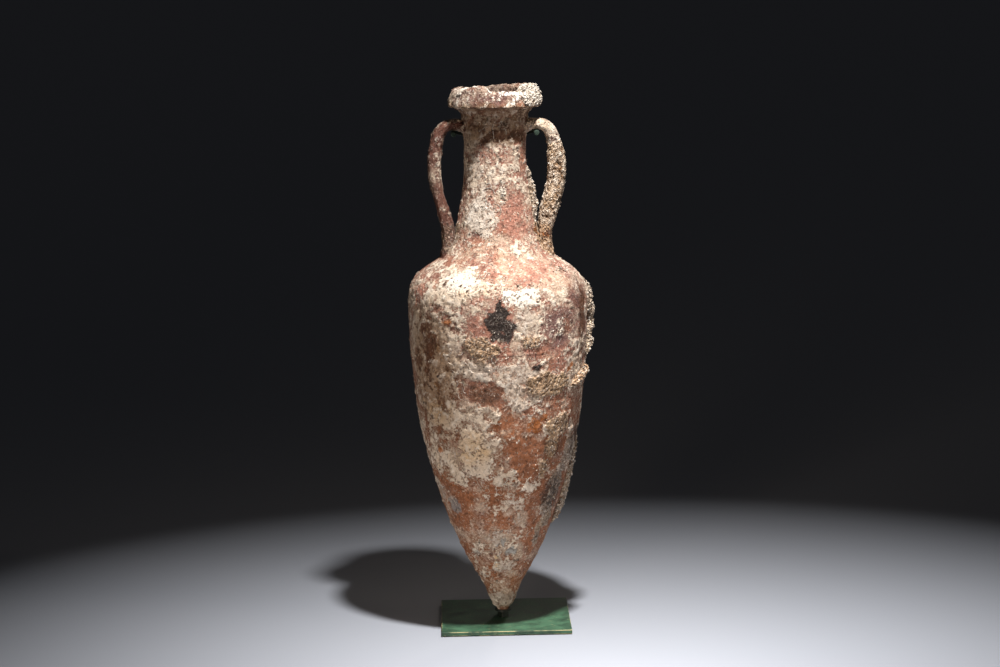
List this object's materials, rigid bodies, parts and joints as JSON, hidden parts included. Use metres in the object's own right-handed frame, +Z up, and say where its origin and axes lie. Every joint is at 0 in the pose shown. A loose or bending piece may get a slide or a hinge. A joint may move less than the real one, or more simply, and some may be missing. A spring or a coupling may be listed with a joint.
{
  "type": "transport amphora",
  "caption": "Pointed-toe clay transport amphora with strap handles and a collar rim, crusted by the sea, held upright by a low plate stand with a toe cup, rear spine and handle arms.",
  "frame": {"origin": "on the floor under the jar's toe, on the underside of the felt", "axes": "+Z up along the jar, +X to the right of someone facing the front, -Y towards them; the handles lie along X and the stand's spine is behind at +Y"},
  "size_m": [0.2915, 0.2932, 0.8515],
  "materials": {
    "clay": "matte fired clay under a patchy cream lime film",
    "crust": "rough porous cream sea crust",
    "crust_grey": "thin pitted grey sea crust",
    "green_paint": "satin mottled green paint worn bright at the edges",
    "felt": "pressed felt",
    "leather_pad": "thin matte leather",
    "sleeve": "soft matte tube"
  },
  "bodies": {
    "stand": {"base_felt": "felt", "base_plate": "green_paint", "toe_post": "green_paint", "post_weld": "green_paint", "toe_saucer": "green_paint", "toe_pad": "leather_pad", "spine_rod": "green_paint", "spine_foot_weld": "green_paint", "yoke_rod": "green_paint", "yoke_weld": "green_paint", "sleeve_left": "sleeve", "sleeve_right": "sleeve"},
    "vessel": {"toe": "clay", "body_lower": "clay", "body_upper": "clay", "neck": "clay", "rim_collar": "clay", "handle_left": "clay", "handle_right": "clay", "crust_shoulder": "crust", "crust_knob": "crust", "crust_neck": "crust", "crust_rim": "crust", "crust_handle": "crust", "crust_lower": "crust_grey"}
  },
  "joints": [
    {"name": "vessel_lift_off", "type": "slide", "parent": "stand", "child": "vessel", "axis": [0, -0.9397, 0.342], "range_m": [0, 0.3]}
  ]
}
